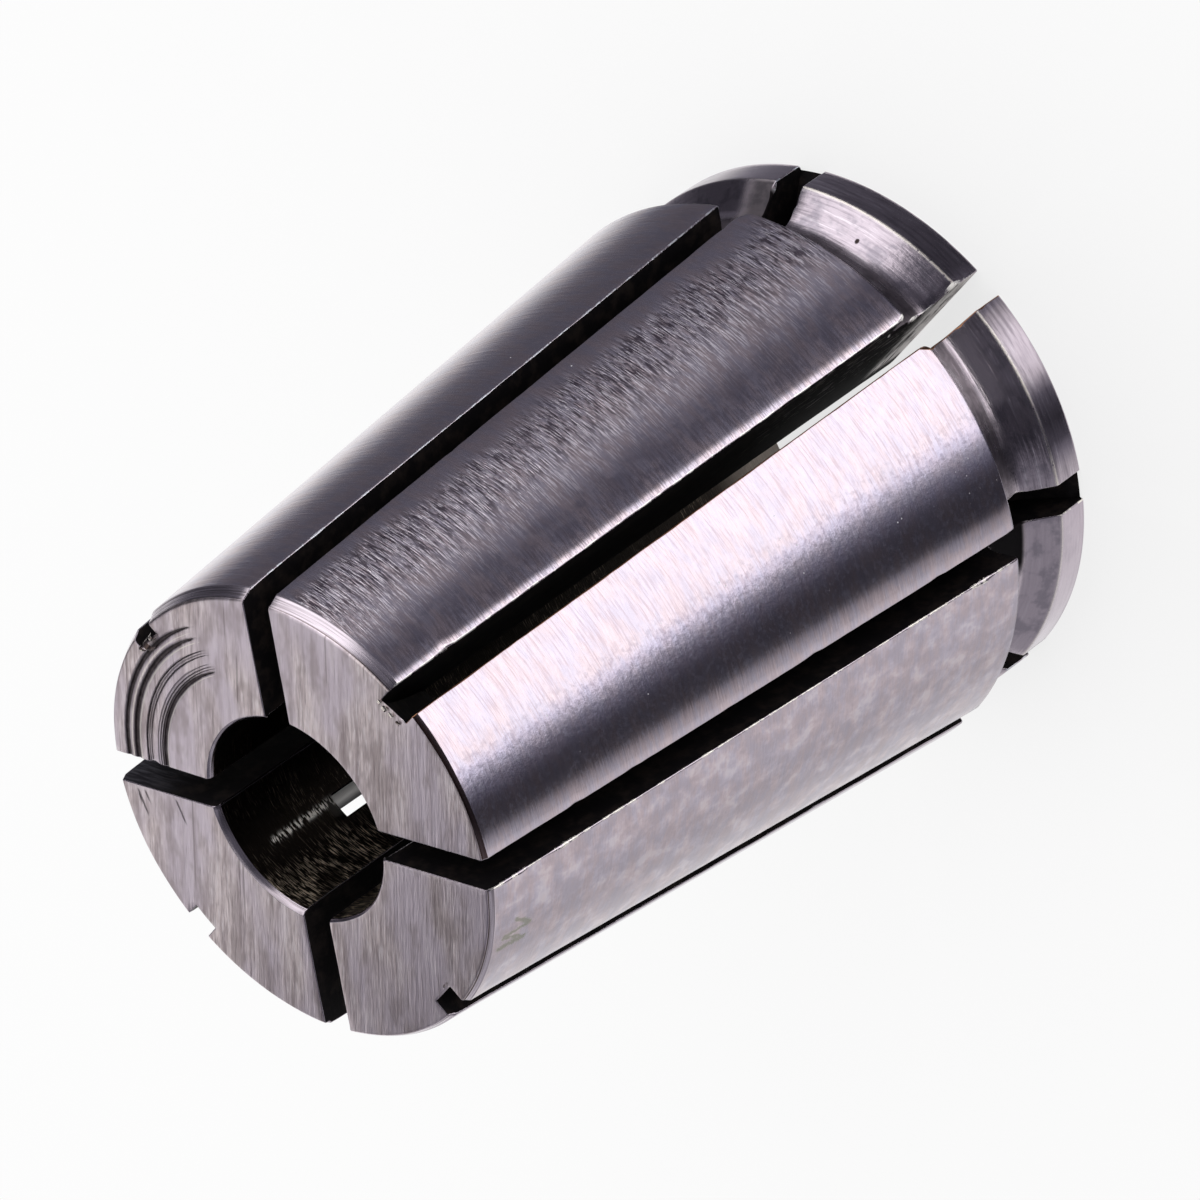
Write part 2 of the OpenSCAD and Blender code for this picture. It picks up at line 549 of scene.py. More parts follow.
class Value:
    """A number in a shader tree: a socket, with Python's operators adding Math nodes."""

    def __init__(self, tree, socket):
        self.tree, self.socket = tree, socket

    def math(self, operation, *others):
        """One Math node on this value and others."""
        inputs = dict(enumerate((self, *others)))
        return self.tree.node("ShaderNodeMath", {"operation": operation}, inputs)

    def __add__(self, other):
        return self.math("ADD", other)

    def __sub__(self, other):
        return self.math("SUBTRACT", other)

    def __mul__(self, other):
        return self.math("MULTIPLY", other)

    def __truediv__(self, other):
        return self.math("DIVIDE", other)

    def __pow__(self, other):
        return self.math("POWER", other)

    def __neg__(self):
        return self.math("MULTIPLY", -1.0)

    def __radd__(self, other):
        return self.math("ADD", other)

    def __rmul__(self, other):
        return self.math("MULTIPLY", other)

    def __rsub__(self, other):
        return self.tree.node("ShaderNodeMath", {"operation": "SUBTRACT"}, {0: other, 1: self})

    def __rtruediv__(self, other):
        return self.tree.node("ShaderNodeMath", {"operation": "DIVIDE"}, {0: other, 1: self})

    def capped(self):
        """No more than 1."""
        return self.math("MINIMUM", 1.0)

    def bell(self):
        """1 at 0, and falling off smoothly on both sides."""
        return (-(self * self)).math("EXPONENT")

    def step(self, low_edge, high_edge):
        """0 below low_edge and 1 above high_edge, smooth between. The edges may be swapped."""
        rising = low_edge < high_edge
        edges = (low_edge, high_edge) if rising else (high_edge, low_edge)
        ends = (0.0, 1.0) if rising else (1.0, 0.0)
        settings = {"interpolation_type": "SMOOTHSTEP"}
        inputs = {"Value": self, "From Min": edges[0], "From Max": edges[1], "To Min": ends[0], "To Max": ends[1]}
        return self.tree.node("ShaderNodeMapRange", settings, inputs)


class Tree:
    """A node tree with one method that adds any node."""

    def __init__(self, node_tree):
        self.node_tree = node_tree
        node_tree.nodes.clear()

    def node(self, kind, settings=None, inputs=None, output=0):
        """Adds a node, sets its settings, then its sockets, and returns one output as a Value."""
        made = self.node_tree.nodes.new(kind)
        for name, value in (settings or {}).items():
            setattr(made, name, value)
        for name, value in (inputs or {}).items():
            socket = made.inputs[name]
            if isinstance(value, Value):
                self.node_tree.links.new(value.socket, socket)
            else:
                socket.default_value = value
        return Value(self, made.outputs[output]) if made.outputs else None

    def vector(self, x, y, z):
        """Three values as one vector."""
        return self.node("ShaderNodeCombineXYZ", None, {0: x, 1: y, 2: z})

    def noise(self, vector, detail=2.0, rough=0.5):
        """Smooth noise from 0 to 1 at a vector."""
        inputs = {"Vector": vector, "Scale": 1.0, "Detail": detail, "Roughness": rough}
        return self.node("ShaderNodeTexNoise", None, inputs)

    def mix(self, share, a, b):
        """Colour a where share is 0, and b where it is 1."""
        ends = [colour if isinstance(colour, Value) else (*colour, 1) for colour in (a, b)]
        return self.node("ShaderNodeMix", {"data_type": "RGBA"}, {"Factor": share, 6: ends[0], 7: ends[1]}, output=2)


print("shader helpers ready")

# %% [markdown]
# ## Where a point is on the part
# Every finish starts from the same numbers: x, y, the height z and the radius r in millimetres,
# and the angle round the axis in degrees. A UV map would give them too, but it would have seams
# and a fixed size. Streaks that run round the axis come from a noise that changes fast with z
# and slowly with x and y. That has no seam, which a noise on the angle would have.

# %% Shared material parts


def steel_material(name):
    """A new material with its tree, and the place values that every finish uses."""
    material = bpy.data.materials.new(name)
    material.use_nodes = True
    tree = Tree(material.node_tree)
    point = tree.node("ShaderNodeTexCoord", None, None, "Object")
    parts = tree.node("ShaderNodeSeparateXYZ", None, {0: point})
    outputs = parts.socket.node.outputs
    x, y, z = (Value(tree, outputs[n]) / MM for n in range(3))
    r = (x * x + y * y) ** 0.5
    deg = y.math("ARCTAN2", x) * (180 / math.pi)
    return material, tree, (x, y, z, r, deg)


def finish_with(tree, colour, roughness, height, depth, anisotropy=0.0, metallic=1.0, specular=0.5):
    """Closes a material with one Principled shader. depth is the bump's height in millimetres."""
    normal = tree.node("ShaderNodeBump", None, {"Strength": 1.0, "Distance": depth * MM, "Height": height})
    # The marks run round the axis, so a highlight stretches along it: a quarter turn
    inputs = {
        "Base Color": colour,
        "Roughness": roughness,
        "Metallic": metallic,
        "Normal": normal,
        "Anisotropic": anisotropy,
        "Anisotropic Rotation": 0.25,
        "Specular IOR Level": specular,
    }
    shader = tree.node("ShaderNodeBsdfPrincipled", None, inputs)
    tree.node("ShaderNodeOutputMaterial", None, {"Surface": shader})
    print("finish made of", len(tree.node_tree.nodes), "nodes")


def beside_line(u, v, start, end):
    """Where (u, v) is by a line: the travel along it, the offset beside it, and the line's length."""
    length = math.hypot(end[0] - start[0], end[1] - start[1])
    cu, cv = (end[0] - start[0]) / length, (end[1] - start[1]) / length
    du, dv = u - start[0], v - start[1]
    return du * cu + dv * cv, dv * cu - du * cv, length


steel_tint = (0.50, 0.435, 0.49)
print("steel tint", steel_tint)

# %% [markdown]
# ## The ground seat
# The seat is the tapered face that closes on the spindle. It is ground, so it is bright, with
# fine lines round the axis, and it has been used: one jaw is scuffed all over, the front jaw is
# brushed, and there are dull spots, a dried stain and dust. A painted image could hold all that,
# but it would be blurred this close. So each mark is a noise in millimetres, and a band of
# angles says which jaw it is on.

# %% Ground seat: the grain of the grinding and the noises for its marks
seat_steel, tree, (x, y, z, r, deg) = steel_material("ground_seat")
fine_grind = tree.noise(tree.vector(x * 0.7, y * 0.7, z * 12.0), 3.0, 0.65)
long_grind = tree.noise(tree.vector(x * 0.12, y * 0.12, z * 3.2), 2.0, 0.5)
cloud = tree.noise(tree.vector(x * 0.45, y * 0.45, z * 0.45), 3.0, 0.6)
blotch = tree.noise(tree.vector(x * 1.7, y * 1.7, z * 1.5), 3.0, 0.6)
mottle = tree.noise(tree.vector(x * 5.5, y * 5.5, z * 6.5), 3.0, 0.6)
print("one degree round the shoulder is", round(math.radians(seat_large_r), 3), "mm")

# %% Ground seat: scuff strokes
# Two sets lean from the direction of the grinding. The lean is mm of height per degree
scuff_lean, brush_lean = 0.015, 0.006
slant = z + deg * scuff_lean
dark_set = tree.noise(tree.vector(x * 1.9, y * 1.9, slant * 16.0), 3.0, 0.64)
light_set = tree.noise(tree.vector(x * 1.8 + 40.0, y * 1.8, slant * 25.0), 2.0, 0.6)
brushed = tree.noise(tree.vector(x * 1.1, y * 1.1, (z - deg * brush_lean) * 20.0), 3.0, 0.65)

# One jaw is scuffed, with dark strokes on one half of the band and light ones on both
ragged = deg + (cloud - 0.5) * 10.0
dark_band = ragged.step(-74, -63) * ragged.step(-51, -57)
light_band = ragged.step(-81, -69) * ragged.step(-51, -56)
by_slit = deg.step(-89, -87) * deg.step(-77, -83)
dark_stroke = dark_set.step(0.45, 0.56) * (0.05 + 0.87 * dark_band + 0.28 * by_slit)
light_stroke = light_set.step(0.52, 0.61) * (0.04 + 0.68 * light_band)
front_jaw = deg.step(-113, -108) * deg.step(-93, -94)
brush_stroke = brushed.step(0.47, 0.66) * (0.12 + 0.38 * front_jaw)
print("scuffs lean", round(math.degrees(math.atan(scuff_lean / math.radians(seat_large_r))), 1), "degrees")

# %% Ground seat: dull spots, the tint of the metal and a painted blue reflection
# Blue blotches lie along one edge, and fine mottling along the front jaw's middle
blued = deg.step(-87, -83) * deg.step(-72, -77)
blue_spot = blotch.step(0.40, 0.62) * (0.08 + 0.34 * blued)
mottled = deg.step(-122, -117) * deg.step(-105, -110)
dull_spot = mottle.step(0.46, 0.66) * (0.05 + 0.32 * mottled)

warmth = tree.noise(tree.vector(x * 1.1, y * 1.1, z * 2.6), 3.0, 0.65)
cool_steel, warm_steel = (0.475, 0.43, 0.505), (0.525, 0.437, 0.47)
colour = tree.mix(warmth.step(0.35, 0.65), cool_steel, warm_steel)
# A blue tint is painted where the seat's reflection turns from dark to bright, as a painted reflection
reflection_tint = deg.step(-122, -117) * deg.step(-108, -112)
colour = tree.mix(reflection_tint * 0.45, colour, (0.46, 0.43, 0.60))
colour = tree.mix(blue_spot, colour, (0.20, 0.19, 0.255))
colour = tree.mix(dull_spot, colour, (0.13, 0.11, 0.15))
colour = tree.mix(dark_stroke, colour, (0.050, 0.036, 0.055))
colour = tree.mix(light_stroke, colour, (1.0, 0.93, 1.0))
colour = tree.mix(brush_stroke, colour, (0.30, 0.225, 0.255))
dusty_jaw = deg.step(-134, -137)
colour = tree.mix(cloud.step(0.45, 0.75) * 0.22, colour, (0.32, 0.28, 0.32))
colour = tree.mix(blotch.step(0.42, 0.62) * dusty_jaw * 0.32, colour, (0.30, 0.26, 0.29))
colour = tree.mix(blotch.step(0.46, 0.32) * dusty_jaw * 0.34, colour, (0.74, 0.67, 0.70))
print("the metal's tint runs from", cool_steel, "to", warm_steel)

# %% Ground seat: the dried stain
# A run of coolant near the small end left a thin crooked line, given in mm from its middle
stain_deg, stain_z = -155.9, 22.62
mm_per_deg = 0.117
run_x = (deg - stain_deg) * mm_per_deg + (mottle - 0.5) * 0.20
run_z = z - stain_z + (blotch - 0.5) * 0.26
run_points = ((0.50, -0.10), (0.09, -0.63), (0.05, 0.31), (-0.34, -0.47), (-0.28, 0.49))
stain = 0.0
for start, end in zip(run_points, run_points[1:]):
    travel, offset, length = beside_line(run_x, run_z, start, end)
    on_line = travel.step(-0.09, 0.03) * travel.step(length + 0.09, length - 0.03)
    stain = (offset.math("ABSOLUTE") / (0.2 + 1.6 * blotch)).step(0.105, 0.030) * on_line + stain
stain = stain.capped() * mottle.step(0.24, 0.38)
colour = tree.mix(stain * 0.66, colour, (0.31, 0.32, 0.24))
print("stain at", stain_deg, "degrees,", round(overall_l - stain_z, 2), "mm below the small face")

# %% Ground seat: flecks, dust and the shader
# Faint grey flecks of the metal's skin are painted only in the band where the seat mirrors dark cards, so the
# reflection sets their place
dark_reflection_band = deg.step(-128, -125) * deg.step(-113, -116)
colour = tree.mix(mottle.step(0.48, 0.66) * dark_reflection_band * 0.35, colour, (0.80, 0.76, 0.90))

# Dust: a few specks everywhere, and a cluster where the part was handled
dust = tree.node("ShaderNodeTexVoronoi", None, {"Vector": tree.vector(x, y, z), "Scale": 1.1})
fine_dust = tree.node("ShaderNodeTexVoronoi", None, {"Vector": tree.vector(x, y, z), "Scale": 3.0})
cluster = deg.step(-124, -118) * deg.step(-104, -109) * cloud.step(0.46, 0.56)
speck = dust.step(0.034, 0.018) * cloud.step(0.46, 0.54) + fine_dust.step(0.085, 0.045) * cluster
speck = speck.capped()
colour = tree.mix(speck, colour, (0.62, 0.62, 0.66))

calm = deg.step(-114, -118) * 0.45
rough = 0.13 + 0.09 * fine_grind + 0.10 * dark_stroke + 0.2 * stain
scuff_height = (light_set - dark_set) * (dark_band + light_band) * 0.6
height = (fine_grind * 0.5 + long_grind * 0.3) * (1.0 - calm)
height = height + scuff_height + (mottle * mottled + blotch * blued) * 0.35
finish_with(tree, colour, rough, height, 0.012, anisotropy=0.75, metallic=1.0 - speck)

# %% [markdown]
# ## The turned rim and groove
# The rim and the groove were turned and never ground, so their lines are coarser and run round the flare as well. On
# the front jaw the foot of the flare is painted bright as a highlight. The groove is darker, and beside two slits a
# stretch of the groove and one of the flare are painted black as shade. The corner of the rim is worn and painted
# bright as a highlight line. One material serves them all, because they run into each other without a border, and
# height and radius are enough to tell them apart.

# %% Turned rim and groove: turning marks
rim_steel, tree, (x, y, z, r, deg) = steel_material("turned_rim")
streak = tree.noise(tree.vector(x * 0.9, y * 0.9, (z - r) * 9.0), 3.0, 0.62)
blotch = tree.noise(tree.vector(x * 1.6, y * 1.6, z * 2.2), 3.0, 0.62)
grit = tree.noise(tree.vector(x * 6.0, y * 6.0, z * 6.0), 2.0, 0.6)
# The turning marks are plain on the front jaws and nearly gone on the two beside them
plain = 1.0 - 0.75 * (deg.step(-132, -137) + deg.step(-47, -43)).capped()
colour = tree.mix(streak.step(0.46, 0.68) * 0.55 * plain, steel_tint, (0.20, 0.17, 0.205))
colour = tree.mix(streak.step(0.44, 0.30) * 0.38 * plain, colour, (0.86, 0.80, 0.86))
on_flare = z.step(1.02, 1.12)
colour = tree.mix(blotch.step(0.46, 0.64) * (0.12 + 0.38 * on_flare), colour, (0.20, 0.185, 0.225))
print("flare foot at", round(flare_foot_z, 2), "mm")

# %% Turned rim and groove: darker groove, painted shade and a painted highlight
# The groove and its foot are darker, and beside two slits a stretch of the groove and one of the flare are painted
# black as shade
groove_darkening = (r - groove_r).step(0.32, 0.08) * z.step(1.7, 2.1) * (0.30 + 0.45 * blotch)
colour = tree.mix(groove_darkening, colour, (0.075, 0.058, 0.055))
shaded_groove = deg.step(-153, -149) * deg.step(-135, -138) * z.step(1.75, 1.9)
shaded_flare = deg.step(-46, -43) * deg.step(-33, -38) * on_flare
rim_shade = (shaded_groove + 0.75 * shaded_flare).capped()
colour = tree.mix(rim_shade, colour, (0.006, 0.005, 0.006))

# On the front jaw the foot of the flare is painted bright and streaky, as a highlight
flare_highlight = deg.step(-113, -110) * deg.step(-92, -94) * z.step(1.25, 1.60) * z.step(1.95, 1.75)
colour = tree.mix(flare_highlight * (0.10 + 0.9 * streak).capped(), colour, (0.90, 0.80, 0.83))
# The black stretches beside two slits are painted shade
print("oil covers the groove from -151 to -136 degrees")

# %% Turned rim and groove: the worn corner and its painted highlight, the pit and the shader
# The corner between the band and the flare is worn, and painted bright as a highlight line, least on the jaws that are
# dark
corner_wear = math.sqrt(0.0020)
corner_z, corner_r = z - band_l, r - rim_r
from_corner = (corner_z * corner_z + corner_r * corner_r) ** 0.5
dark_jaw_share = 0.6 * deg.step(-112, -116) * deg.step(-128, -124) + 0.6 * deg.step(-132, -137)
wear = 1.0 - 0.85 * deg.step(-46, -43) - dark_jaw_share
worn_highlight = (from_corner / corner_wear).bell() * grit.step(0.26, 0.44) * wear
colour = tree.mix(worn_highlight, colour, (1.0, 0.93, 0.86))

# One pit on the flare
pit_deg, pit_r = math.radians(-65.5), 7.49
pit_x, pit_y = x - pit_r * math.cos(pit_deg), y - pit_r * math.sin(pit_deg)
from_pit = (pit_x * pit_x + pit_y * pit_y) ** 0.5
pit = (from_pit + (grit - 0.5) * 0.06).step(0.070, 0.035)
colour = tree.mix(pit, colour, (0.030, 0.022, 0.022))
rough = 0.14 + 0.08 * streak + 0.35 * worn_highlight + 0.2 * groove_darkening + 0.6 * rim_shade
height = streak * plain + grit * 0.25 - pit * 0.4
finish_with(tree, colour, rough, height, 0.011, anisotropy=0.6, metallic=1.0 - rim_shade, specular=0.08)

# %% [markdown]
# ## Filed edge breaks
# The break round the small face and the one in the bore's mouth were cut by hand with a file,
# which leaves coarse lines round the edge. A darker line marks where the break meets the face,
# and the break is tanned brown along the front jaw.

# %% Filed edge breaks
filed_steel, tree, (x, y, z, r, deg) = steel_material("filed_break")
filed_lines = tree.noise(tree.vector(x * 0.35, y * 0.35, (z - r) * 16.0), 2.0, 0.55)
colour = tree.mix(filed_lines.step(0.45, 0.62) * 0.55, (0.62, 0.55, 0.61), (0.20, 0.165, 0.18))
inner_line = z.step(overall_l - 0.085, overall_l - 0.045) * r.step(5.0, 5.5)
colour = tree.mix(inner_line * filed_lines.step(0.30, 0.48), colour, (0.10, 0.07, 0.065))
front_break = deg.step(-134, -131) * deg.step(-91, -93) * r.step(5.0, 5.5)
browned = front_break * filed_lines.step(0.20, 0.42)
colour = tree.mix(browned * 0.85, colour, (0.085, 0.045, 0.038))
finish_with(tree, colour, 0.16 + 0.1 * filed_lines, filed_lines, 0.012, anisotropy=0.5)

# %% [markdown]
# ## Edges of the slits
# The saw tore the edges of the slits, and the stone that took the burr off left them uneven and dull in some places.
# The faces round each edge are geometry, and this finish paints glints on them: stretches of bright colour that stand
# in for highlights. Three corners beside the front slit get painted white glints, some edges in the groove are painted
# black as shade, and the burrs are tanned.

# %% Edges of the slits: painted glints and painted shade
edge_steel, tree, (x, y, z, r, deg) = steel_material("slit_edge")
broken = tree.noise(tree.vector(x * 3.2, y * 3.2, z * 3.2), 3.0, 0.65)
by_front = deg.step(-89.5, -88.5) * deg.step(-84, -85)
glint_strength = 0.7 * deg.step(-43.5, -42.5) * deg.step(-36, -38) + deg.step(-145, -143) * deg.step(-136, -137)
glint_strength = glint_strength + 0.9 * by_front + z.step(3.6, 3.2) * 0.5
at_face = z.step(overall_l + 0.05, overall_l - 0.2)
# In the groove the edges beside three of the jaws are painted black as shade
shade_top = 3.45
in_groove = z.step(shade_top, shade_top - 0.15)
painted_shade = deg.step(-147, -144) * deg.step(-134.5, -135.5) * z.step(1.65, 1.85) + by_front * z.step(2.4, 2.55)
painted_shade = ((painted_shade + deg.step(-44, -43) * deg.step(-38, -40) * z.step(1.1, 1.3)) * in_groove).capped()
# Bright stretches of the edges are painted glints
bright = broken.step(0.46, 0.58) * (0.10 + 0.80 * glint_strength).capped() * at_face * (1.0 - painted_shade)
glint_colour = tree.mix(deg.step(-60, -100), (0.90, 0.93, 1.0), (1.0, 0.95, 0.88))
colour = tree.mix(bright, (0.42, 0.365, 0.41), glint_colour)
# One edge of the front slit is tanned brown
tanned_edge = deg.step(-96, -95) * deg.step(-91, -92)
colour = tree.mix(tanned_edge, colour, (0.34, 0.17, 0.10))
colour = tree.mix(painted_shade, colour, (0.008, 0.006, 0.007))
print("three oily stretches, all below", shade_top, "mm")

# %% Edges of the slits: painted corner glints, tanned burrs and the shader
# Three corners beside the front slit are painted white as glints
corner_glint_at = (band_l + 0.03, 2.25, shoulder_z + 0.1)
corner_glint_l = 0.11
corner_glint = 0.0
for glint_z in corner_glint_at:
    corner_glint = ((z - glint_z) / corner_glint_l).bell() + corner_glint
corner_glint = (corner_glint * by_front).capped()
colour = tree.mix(corner_glint, colour, (1.0, 0.97, 0.93))

# Burrs at the notches are tanned by the heat of the saw
tanned = z.step(overall_l + 0.005, overall_l + 0.02)
tan = tree.mix(broken.step(0.44, 0.60), (0.13, 0.09, 0.08), (0.95, 0.88, 0.80))
colour = tree.mix(tanned, colour, tan)
rough = 0.22 + 0.28 * bright + 0.6 * painted_shade
metal = 1.0 - (0.9 * corner_glint + painted_shade).capped()
finish_with(tree, colour, rough, broken, 0.015, metallic=metal, specular=0.08)

# %% [markdown]
# ## The ground small face
# The small face was ground flat on a wheel, so its lines are straight and all lean one way, with broad streaks, hair
# lines and a few single scratches. Rings of chatter from the facing tool still show on one jaw, and one edge was
# knocked. The ring's grooves are in the mesh, and the fine lines between them are only colour, because they are thinner
# than its grid: dark lines painted as shade in the grooves and light ones painted as highlights on the ridges between.

# %% Ground small face: grinding lines
face_steel, tree, (x, y, z, r, deg) = steel_material("ground_face")
lay = math.radians(124)
along = x * math.cos(lay) + y * math.sin(lay)
across = x * -math.sin(lay) + y * math.cos(lay)
hair = tree.noise(tree.vector(along * 1.5, across * 14.0, 3.0), 2.0, 0.6)
streaks = tree.noise(tree.vector(along * 0.35, across * 4.5, 3.0), 4.0, 0.65)
smudge = tree.noise(tree.vector(along * 0.5, across * 1.2, 8.0), 3.0, 0.6)
zone = tree.noise(tree.vector(along * 0.25, across * 0.6, 5.0), 2.0, 0.5).step(0.40, 0.62)
base = tree.mix(zone, (0.73, 0.64, 0.71), (0.82, 0.71, 0.71))
colour = tree.mix(streaks.step(0.38, 0.70) * (0.42 + 0.50 * zone), base, (0.40, 0.325, 0.34))
colour = tree.mix(hair.step(0.50, 0.68) * (0.08 + 0.40 * zone), colour, (0.32, 0.26, 0.27))
colour = tree.mix(hair.step(0.48, 0.34) * (0.16 + 0.34 * zone), colour, (0.97, 0.90, 0.92))
colour = tree.mix(smudge.step(0.48, 0.66) * 0.55, colour, (0.34, 0.275, 0.275))
colour = tree.mix(smudge.step(0.44, 0.30) * 0.45, colour, (0.95, 0.86, 0.89))

# Single scratches, longer and deeper than the grinding lines
single = tree.noise(tree.vector(along * 0.22, across * 8.0, 11.0), 1.0, 0.5)
colour = tree.mix(single.step(0.67, 0.71) * 0.45, colour, (0.16, 0.12, 0.12))
print("the grinding runs at", round(math.degrees(lay)), "degrees from X")

# %% Ground small face: chatter lines
# Groups of fine rings lie on one part of the face, about their own centre: dark ones are painted shade in the grooves,
# and light ones are painted highlights between them
ring_x, ring_y = x - ring_centre.x, y - ring_centre.y
from_ring = (ring_x * ring_x + ring_y * ring_y) ** 0.5
fray = tree.noise(tree.vector(x * 3.5, y * 3.5, 1.0), 3.0, 0.7)
seen = (deg + (fray - 0.5) * 8.0).step(-22, -1) * deg.step(41.5, 40.5)


def rings(places):
    """Fine rings about the chatter's centre, each (radius, width, strength), thinner at their tips."""
    total = 0.0
    for ring, wide, strength in places:
        off = (from_ring + (fray - 0.5) * 0.03 - ring) / (wide * (0.25 + 0.75 * seen))
        total = off.bell() * strength + total
    return total * seen.step(0.0, 0.25)


chatter_shade_places = (
    (5.31, 0.078, 1.0), (4.98, 0.090, 1.0), (4.60, 0.026, 0.9), (4.53, 0.03, 0.5), (4.46, 0.024, 0.8),
    (4.21, 0.020, 0.5), (4.13, 0.022, 0.7), (4.06, 0.020, 0.7), (3.97, 0.070, 1.0),
)
chatter_highlight_places = ((5.14, 0.035, 0.7), (4.85, 0.035, 0.9), (4.08, 0.015, 0.5), (3.88, 0.030, 0.8))
chatter_shade, chatter_highlight = rings(chatter_shade_places), rings(chatter_highlight_places)
chatter_shade_share = chatter_shade.step(0.15, 0.75) * (0.82 + 0.3 * fray).capped()
colour = tree.mix(chatter_shade_share, colour, (0.045, 0.033, 0.035))
colour = tree.mix(chatter_highlight.step(0.2, 0.9) * 0.7, colour, (0.98, 0.92, 0.84))
print(len(chatter_shade_places), "dark rings and", len(chatter_highlight_places), "light ones")

# %% Ground small face: knocks and the shader
# A few knocks near one slit, scored across the grinding, each from a start to an end in mm
knock_lines = (
    ((3.73, 4.53), (2.95, 4.98)),
    ((3.55, 4.34), (3.12, 4.56)),
    ((3.62, 4.62), (3.3, 4.85)),
    ((2.74, 3.56), (2.0, 3.95)),
)
knocks = 0.0
for start, end in knock_lines:
    travel, offset, length = beside_line(x, y, start, end)
    near_line = (offset + (fray - 0.5) * 0.05).math("ABSOLUTE").step(0.045, 0.015)
    knocks = near_line * travel.step(-0.05, 0.1) * travel.step(length, length - 0.3) + knocks
colour = tree.mix(knocks.capped() * 0.75, colour, (0.10, 0.08, 0.085))
height = streaks + hair * 0.5 - chatter_shade * 2.0 - knocks
finish_with(tree, colour, 0.28 + 0.1 * streaks, height, 0.010)

# %% [markdown]
# ## Walls of the slits
# The walls are sawn and nearly black. A bright metal there would mirror the cards and look like glass, so the wall is a
# dull, dark coat, and metal comes back only where light is painted on it and in a few bare flecks.

# %% Sawn slit walls: the coat and one slit's painted slate light
slit_steel, tree, (x, y, z, r, deg) = steel_material("sawn_slit")
saw_marks = tree.noise(tree.vector(x * 2.0, y * 2.0, z * 2.0), 3.0, 0.6)
scratched = tree.noise(tree.vector(x * 1.2, y * 1.2, z * 9.0), 3.0, 0.6)
chipped = tree.noise(tree.vector(x * 5.0, y * 5.0, z * 1.6), 3.0, 0.65)
colour = tree.mix(saw_marks.step(0.42, 0.70), (0.006, 0.005, 0.006), (0.019, 0.014, 0.013))

# One slit's wall is painted slate grey near the small end, standing in for the light that falls on it there
slate_light_from = 20.5
painted_slate_light = deg.step(42, 46) * deg.step(58, 52) * r.step(4.2, 6.4) * z.step(slate_light_from, slate_light_from + 2.0)
slate = tree.mix(scratched.step(0.38, 0.68), (0.018, 0.016, 0.022), (0.075, 0.072, 0.088))
colour = tree.mix(painted_slate_light, colour, slate)
print("one slit is rubbed smooth above", slate_light_from, "mm")

# %% Sawn slit walls: painted light, bare flecks and the shader
# Near the rim the front slit's wall is painted light metal grey where light falls on it, and further in it is flecked
# with bare metal
near_front = deg.step(-91, -89.5) * deg.step(-83, -84)
lit_patch_and_flecks = near_front * z.step(2.2, 1.3) * scratched.step(0.30, 0.52)
fleck = near_front * chipped.step(0.56, 0.62) * z.step(10.0, 5.0) * r.step(4.5, 5.5)
lit_patch_and_flecks = (lit_patch_and_flecks + fleck * 0.5).capped()
colour = tree.mix(lit_patch_and_flecks, colour, (0.36, 0.32, 0.31))

# Light from the far side falls on one wall behind the bore
lit_wall = deg.step(79, 81) * deg.step(91, 89.5) * z.step(15.5, 16.5) * r.step(7.0, 5.0)
lit_wall = lit_wall * (0.75 + 0.25 * scratched)
colour = tree.mix(lit_wall, colour, (0.42, 0.38, 0.36))
metal = (lit_patch_and_flecks + lit_wall).capped()
finish_with(tree, colour, 0.75 - 0.35 * metal, saw_marks + scratched, 0.01, metallic=metal, specular=0.08)

# %% [markdown]
# ## The bore
# The bore was drilled and reamed, and its own colour is painted nearly black, as the shade deep inside it. What shows
# in it are the marks: fine scores on one side and a torn line where the saw broke through, both painted bright as
# glints, and the metal's own brown grey where light comes in at the far mouth. They are narrow bands of angle and
# height over a noise that is stretched round the bore.

# %% Bore: marks
bore_steel, tree, (x, y, z, r, deg) = steel_material("drilled_bore")
drill_marks = tree.noise(tree.vector(x * 2.8, y * 2.8, z * 32.0), 3.0, 0.62)
patch = tree.noise(tree.vector(x * 1.2, y * 1.2, z * 1.2), 2.0, 0.5)
torn_marks = tree.noise(tree.vector(x * 3.0, y * 3.0, z * 11.0), 2.0, 0.6)

# The saw tore the bore along one line where it broke through, and the reamer scored one side; both are painted bright
# as glints
torn_deg, torn_wide = 84.8, 1.7
torn_glint = ((deg - torn_deg) / torn_wide).bell() * z.step(19.7, 20.0) * z.step(22.5, 22.3)
torn_glint = (torn_marks.step(0.46, 0.58) * torn_glint * 1.7).capped()
scored_glint = drill_marks.step(0.51, 0.62) * deg.step(93, 108) * z.step(17.5, 20.5)
scored_glint = scored_glint * (0.35 + 0.9 * patch.step(0.36, 0.60))
faint = drill_marks.step(0.55, 0.68) * patch.step(0.40, 0.60) * 0.28
# The bore's base colour is painted nearly black, as the shade deep inside it
colour = tree.mix((scored_glint * 0.80 + faint).capped(), (0.020, 0.015, 0.012), (0.74, 0.61, 0.48))
colour = tree.mix(torn_glint, colour, (0.95, 0.91, 0.86))
print("torn line at", torn_deg, "degrees")

# %% Bore: light at the far mouth, and the shader
# Near the large end, light that comes in at the mouth shows the bore's own brown grey
mouth_glow = z.step(3.2, 0.2) * deg.step(52, 60) * deg.step(98, 92)
colour = tree.mix(mouth_glow * (0.45 + 0.5 * drill_marks), colour, (0.55, 0.46, 0.40))
dull = (torn_glint * 0.85 + scored_glint * 0.35 + mouth_glow * 0.7).capped()
finish_with(tree, colour, 0.35, drill_marks, 0.02, metallic=1.0 - dull)

# %% Put the finishes on
for material in (seat_steel, rim_steel, face_steel, slit_steel, bore_steel, filed_steel, edge_steel):
    mesh.materials.append(material)
print("finishes:", [m.name for m in mesh.materials])

